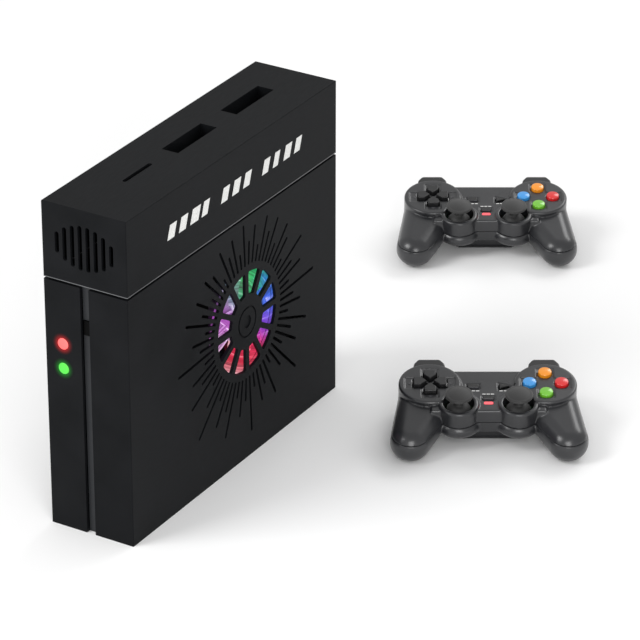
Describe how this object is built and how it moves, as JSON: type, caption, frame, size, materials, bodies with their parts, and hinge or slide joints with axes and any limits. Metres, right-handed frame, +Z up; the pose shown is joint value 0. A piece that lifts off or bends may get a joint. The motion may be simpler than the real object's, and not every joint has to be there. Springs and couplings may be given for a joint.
{
  "type": "game console",
  "caption": "Upright black game console with a lit fan behind a sunburst grille, and wireless gamepads with thumb sticks, a direction pad, coloured buttons and triggers.",
  "frame": {"origin": "centre of the console's base, on the surface that it stands on", "axes": "+X towards the side with the fan grille, +Y towards the back with the sockets, +Z up"},
  "size_m": [0.3266, 0.6549, 0.27],
  "materials": {
    "casing": "satin, fine brushed grain",
    "spine": "matt",
    "screw_steel": "machined",
    "circuit_board": "solder mask",
    "heatsink_metal": "extruded",
    "socket_metal": "nickel plated",
    "fan_frame_plastic": "matt",
    "fan_blade_plastic": "translucent",
    "light_ring": "frosted",
    "lamp_plastic": "clear, lit from behind",
    "key_plastic": "fine grain",
    "grip_plastic": "semi-gloss",
    "pad_plastic": "fine grain",
    "stick_rubber": "soft matt",
    "battery_jacket": "printed film, plain",
    "light_window_plastic": "lit",
    "button_red": "gloss",
    "button_orange": "gloss",
    "button_blue": "gloss",
    "button_green": "gloss"
  },
  "bodies": {
    "console": {"upper_cap": "casing", "left_cover": "casing", "right_cover": "casing", "spine_frame": "spine", "cover_screws": "screw_steel", "main_board": "circuit_board", "heatsink": "heatsink_metal", "usb_ports": "socket_metal", "rear_sockets": "socket_metal", "fan_frame": "fan_frame_plastic", "fan_light_ring": "light_ring", "indicator_lamps": "lamp_plastic"},
    "fan_rotor": {"fan_rotor": "fan_blade_plastic"},
    "power_button": {"power_button": "key_plastic"},
    "controller1": {"controller1_upper_shell": "grip_plastic", "controller1_lower_shell": "grip_plastic", "controller1_batteries": "battery_jacket", "controller1_circuit_board": "circuit_board", "controller1_light_window": "light_window_plastic"},
    "controller1_battery_cover": {"controller1_battery_cover": "grip_plastic"},
    "controller1_dpad_pivot": {"controller1_dpad_pivot": "screw_steel"},
    "controller1_dpad": {"controller1_dpad": "pad_plastic"},
    "controller1_button_right": {"controller1_button_right": "button_red"},
    "controller1_button_top": {"controller1_button_top": "button_orange"},
    "controller1_button_left": {"controller1_button_left": "button_blue"},
    "controller1_button_bottom": {"controller1_button_bottom": "button_green"},
    "controller1_select_button": {"controller1_select_button": "key_plastic"},
    "controller1_start_button": {"controller1_start_button": "key_plastic"},
    "controller1_mode_button": {"controller1_mode_button": "key_plastic"},
    "controller1_shoulder_left": {"controller1_shoulder_left": "pad_plastic"},
    "controller1_trigger_left": {"controller1_trigger_left": "pad_plastic"},
    "controller1_stick_gimbal_left": {"controller1_stick_gimbal_left": "screw_steel"},
    "controller1_stick_left": {"controller1_stick_left": "stick_rubber"},
    "controller1_shoulder_right": {"controller1_shoulder_right": "pad_plastic"},
    "controller1_trigger_right": {"controller1_trigger_right": "pad_plastic"},
    "controller1_stick_gimbal_right": {"controller1_stick_gimbal_right": "screw_steel"},
    "controller1_stick_right": {"controller1_stick_right": "stick_rubber"},
    "controller2": {"controller2_upper_shell": "grip_plastic", "controller2_lower_shell": "grip_plastic", "controller2_batteries": "battery_jacket", "controller2_circuit_board": "circuit_board", "controller2_light_window": "light_window_plastic"},
    "controller2_battery_cover": {"controller2_battery_cover": "grip_plastic"},
    "controller2_dpad_pivot": {"controller2_dpad_pivot": "screw_steel"},
    "controller2_dpad": {"controller2_dpad": "pad_plastic"},
    "controller2_button_right": {"controller2_button_right": "button_red"},
    "controller2_button_top": {"controller2_button_top": "button_orange"},
    "controller2_button_left": {"controller2_button_left": "button_blue"},
    "controller2_button_bottom": {"controller2_button_bottom": "button_green"},
    "controller2_select_button": {"controller2_select_button": "key_plastic"},
    "controller2_start_button": {"controller2_start_button": "key_plastic"},
    "controller2_mode_button": {"controller2_mode_button": "key_plastic"},
    "controller2_shoulder_left": {"controller2_shoulder_left": "pad_plastic"},
    "controller2_trigger_left": {"controller2_trigger_left": "pad_plastic"},
    "controller2_stick_gimbal_left": {"controller2_stick_gimbal_left": "screw_steel"},
    "controller2_stick_left": {"controller2_stick_left": "stick_rubber"},
    "controller2_shoulder_right": {"controller2_shoulder_right": "pad_plastic"},
    "controller2_trigger_right": {"controller2_trigger_right": "pad_plastic"},
    "controller2_stick_gimbal_right": {"controller2_stick_gimbal_right": "screw_steel"},
    "controller2_stick_right": {"controller2_stick_right": "stick_rubber"}
  },
  "joints": [
    {"name": "fan_spin", "type": "hinge", "parent": "console", "child": "fan_rotor", "pos_m": [0.018, 0.015, 0.118], "axis": [1, 0, 0], "continuous": true},
    {"name": "power_button_press", "type": "slide", "parent": "console", "child": "power_button", "axis": [0, 1, 0], "range_m": [0, 0.0012], "stiffness_N_per_m": 400, "springref_m": -0.001},
    {"name": "controller1_lift", "type": "slide", "parent": "console", "child": "controller1", "axis": [0, 0, 1], "range_m": [0, 0.3]},
    {"name": "controller1_battery_cover_slide", "type": "slide", "parent": "controller1", "child": "controller1_battery_cover", "axis": [0.515, -0.8572, 0], "range_m": [0, 0.03]},
    {"name": "controller1_dpad_tip_up_down", "type": "hinge", "parent": "controller1", "child": "controller1_dpad_pivot", "pos_m": [0.13728, 0.12429, 0.03342], "axis": [0.8572, 0.515, 0], "range_deg": [-3.5, 3.5], "stiffness_Nm_per_rad": 0.05},
    {"name": "controller1_dpad_tip_left_right", "type": "hinge", "parent": "controller1_dpad_pivot", "child": "controller1_dpad", "pos_m": [0.13728, 0.12429, 0.03342], "axis": [-0.5072, 0.8441, 0.1736], "range_deg": [-3.5, 3.5], "stiffness_Nm_per_rad": 0.05},
    {"name": "controller1_button_right_press", "type": "slide", "parent": "controller1", "child": "controller1_button_right", "axis": [-0.0894, 0.1488, -0.9848], "range_m": [0, 0.0012], "stiffness_N_per_m": 300, "springref_m": -0.0008},
    {"name": "controller1_button_top_press", "type": "slide", "parent": "controller1", "child": "controller1_button_top", "axis": [-0.0894, 0.1488, -0.9848], "range_m": [0, 0.0012], "stiffness_N_per_m": 300, "springref_m": -0.0008},
    {"name": "controller1_button_left_press", "type": "slide", "parent": "controller1", "child": "controller1_button_left", "axis": [-0.0894, 0.1488, -0.9848], "range_m": [0, 0.0012], "stiffness_N_per_m": 300, "springref_m": -0.0008},
    {"name": "controller1_button_bottom_press", "type": "slide", "parent": "controller1", "child": "controller1_button_bottom", "axis": [-0.0894, 0.1488, -0.9848], "range_m": [0, 0.0012], "stiffness_N_per_m": 300, "springref_m": -0.0008},
    {"name": "controller1_select_press", "type": "slide", "parent": "controller1", "child": "controller1_select_button", "axis": [-0.0894, 0.1488, -0.9848], "range_m": [0, 0.0008], "stiffness_N_per_m": 300, "springref_m": -0.0008},
    {"name": "controller1_start_press", "type": "slide", "parent": "controller1", "child": "controller1_start_button", "axis": [-0.0894, 0.1488, -0.9848], "range_m": [0, 0.0008], "stiffness_N_per_m": 300, "springref_m": -0.0008},
    {"name": "controller1_mode_press", "type": "slide", "parent": "controller1", "child": "controller1_mode_button", "axis": [-0.0894, 0.1488, -0.9848], "range_m": [0, 0.0008], "stiffness_N_per_m": 300, "springref_m": -0.0008},
    {"name": "controller1_shoulder_left_press", "type": "hinge", "parent": "controller1", "child": "controller1_shoulder_left", "pos_m": [0.12801, 0.13972, 0.04188], "axis": [-0.8572, -0.515, 0], "range_deg": [0, 6], "stiffness_Nm_per_rad": 0.1, "springref_deg": -5.73},
    {"name": "controller1_trigger_left_pull", "type": "hinge", "parent": "controller1", "child": "controller1_trigger_left", "pos_m": [0.1287, 0.13856, 0.02824], "axis": [-0.8572, -0.515, 0], "range_deg": [0, 15], "stiffness_Nm_per_rad": 0.08, "springref_deg": -8.59},
    {"name": "controller1_stick_left_up_down", "type": "hinge", "parent": "controller1", "child": "controller1_stick_gimbal_left", "pos_m": [0.16791, 0.11603, 0.02716], "axis": [0.8572, 0.515, 0], "range_deg": [-14, 14], "stiffness_Nm_per_rad": 0.04},
    {"name": "controller1_stick_left_left_right", "type": "hinge", "parent": "controller1_stick_gimbal_left", "child": "controller1_stick_left", "pos_m": [0.16791, 0.11603, 0.02716], "axis": [-0.5072, 0.8441, 0.1736], "range_deg": [-14, 14], "stiffness_Nm_per_rad": 0.04},
    {"name": "controller1_shoulder_right_press", "type": "hinge", "parent": "controller1", "child": "controller1_shoulder_right", "pos_m": [0.20584, 0.18649, 0.04188], "axis": [-0.8572, -0.515, 0], "range_deg": [0, 6], "stiffness_Nm_per_rad": 0.1, "springref_deg": -5.73},
    {"name": "controller1_trigger_right_pull", "type": "hinge", "parent": "controller1", "child": "controller1_trigger_right", "pos_m": [0.20653, 0.18533, 0.02824], "axis": [-0.8572, -0.515, 0], "range_deg": [0, 15], "stiffness_Nm_per_rad": 0.08, "springref_deg": -8.59},
    {"name": "controller1_stick_right_up_down", "type": "hinge", "parent": "controller1", "child": "controller1_stick_gimbal_right", "pos_m": [0.20803, 0.14013, 0.02716], "axis": [0.8572, 0.515, 0], "range_deg": [-14, 14], "stiffness_Nm_per_rad": 0.04},
    {"name": "controller1_stick_right_left_right", "type": "hinge", "parent": "controller1_stick_gimbal_right", "child": "controller1_stick_right", "pos_m": [0.20803, 0.14013, 0.02716], "axis": [-0.5072, 0.8441, 0.1736], "range_deg": [-14, 14], "stiffness_Nm_per_rad": 0.04},
    {"name": "controller2_lift", "type": "slide", "parent": "console", "child": "controller2", "axis": [0, 0, 1], "range_m": [0, 0.3]},
    {"name": "controller2_battery_cover_slide", "type": "slide", "parent": "controller2", "child": "controller2_battery_cover", "axis": [0.515, -0.8572, 0], "range_m": [0, 0.03]},
    {"name": "controller2_dpad_tip_up_down", "type": "hinge", "parent": "controller2", "child": "controller2_dpad_pivot", "pos_m": [-0.02872, 0.42229, 0.03342], "axis": [0.8572, 0.515, 0], "range_deg": [-3.5, 3.5], "stiffness_Nm_per_rad": 0.05},
    {"name": "controller2_dpad_tip_left_right", "type": "hinge", "parent": "controller2_dpad_pivot", "child": "controller2_dpad", "pos_m": [-0.02872, 0.42229, 0.03342], "axis": [-0.5072, 0.8441, 0.1736], "range_deg": [-3.5, 3.5], "stiffness_Nm_per_rad": 0.05},
    {"name": "controller2_button_right_press", "type": "slide", "parent": "controller2", "child": "controller2_button_right", "axis": [-0.0894, 0.1488, -0.9848], "range_m": [0, 0.0012], "stiffness_N_per_m": 300, "springref_m": -0.0008},
    {"name": "controller2_button_top_press", "type": "slide", "parent": "controller2", "child": "controller2_button_top", "axis": [-0.0894, 0.1488, -0.9848], "range_m": [0, 0.0012], "stiffness_N_per_m": 300, "springref_m": -0.0008},
    {"name": "controller2_button_left_press", "type": "slide", "parent": "controller2", "child": "controller2_button_left", "axis": [-0.0894, 0.1488, -0.9848], "range_m": [0, 0.0012], "stiffness_N_per_m": 300, "springref_m": -0.0008},
    {"name": "controller2_button_bottom_press", "type": "slide", "parent": "controller2", "child": "controller2_button_bottom", "axis": [-0.0894, 0.1488, -0.9848], "range_m": [0, 0.0012], "stiffness_N_per_m": 300, "springref_m": -0.0008},
    {"name": "controller2_select_press", "type": "slide", "parent": "controller2", "child": "controller2_select_button", "axis": [-0.0894, 0.1488, -0.9848], "range_m": [0, 0.0008], "stiffness_N_per_m": 300, "springref_m": -0.0008},
    {"name": "controller2_start_press", "type": "slide", "parent": "controller2", "child": "controller2_start_button", "axis": [-0.0894, 0.1488, -0.9848], "range_m": [0, 0.0008], "stiffness_N_per_m": 300, "springref_m": -0.0008},
    {"name": "controller2_mode_press", "type": "slide", "parent": "controller2", "child": "controller2_mode_button", "axis": [-0.0894, 0.1488, -0.9848], "range_m": [0, 0.0008], "stiffness_N_per_m": 300, "springref_m": -0.0008},
    {"name": "controller2_shoulder_left_press", "type": "hinge", "parent": "controller2", "child": "controller2_shoulder_left", "pos_m": [-0.03799, 0.43772, 0.04188], "axis": [-0.8572, -0.515, 0], "range_deg": [0, 6], "stiffness_Nm_per_rad": 0.1, "springref_deg": -5.73},
    {"name": "controller2_trigger_left_pull", "type": "hinge", "parent": "controller2", "child": "controller2_trigger_left", "pos_m": [-0.0373, 0.43656, 0.02824], "axis": [-0.8572, -0.515, 0], "range_deg": [0, 15], "stiffness_Nm_per_rad": 0.08, "springref_deg": -8.59},
    {"name": "controller2_stick_left_up_down", "type": "hinge", "parent": "controller2", "child": "controller2_stick_gimbal_left", "pos_m": [0.00191, 0.41403, 0.02716], "axis": [0.8572, 0.515, 0], "range_deg": [-14, 14], "stiffness_Nm_per_rad": 0.04},
    {"name": "controller2_stick_left_left_right", "type": "hinge", "parent": "controller2_stick_gimbal_left", "child": "controller2_stick_left", "pos_m": [0.00191, 0.41403, 0.02716], "axis": [-0.5072, 0.8441, 0.1736], "range_deg": [-14, 14], "stiffness_Nm_per_rad": 0.04},
    {"name": "controller2_shoulder_right_press", "type": "hinge", "parent": "controller2", "child": "controller2_shoulder_right", "pos_m": [0.03984, 0.48449, 0.04188], "axis": [-0.8572, -0.515, 0], "range_deg": [0, 6], "stiffness_Nm_per_rad": 0.1, "springref_deg": -5.73},
    {"name": "controller2_trigger_right_pull", "type": "hinge", "parent": "controller2", "child": "controller2_trigger_right", "pos_m": [0.04053, 0.48333, 0.02824], "axis": [-0.8572, -0.515, 0], "range_deg": [0, 15], "stiffness_Nm_per_rad": 0.08, "springref_deg": -8.59},
    {"name": "controller2_stick_right_up_down", "type": "hinge", "parent": "controller2", "child": "controller2_stick_gimbal_right", "pos_m": [0.04203, 0.43813, 0.02716], "axis": [0.8572, 0.515, 0], "range_deg": [-14, 14], "stiffness_Nm_per_rad": 0.04},
    {"name": "controller2_stick_right_left_right", "type": "hinge", "parent": "controller2_stick_gimbal_right", "child": "controller2_stick_right", "pos_m": [0.04203, 0.43813, 0.02716], "axis": [-0.5072, 0.8441, 0.1736], "range_deg": [-14, 14], "stiffness_Nm_per_rad": 0.04}
  ]
}
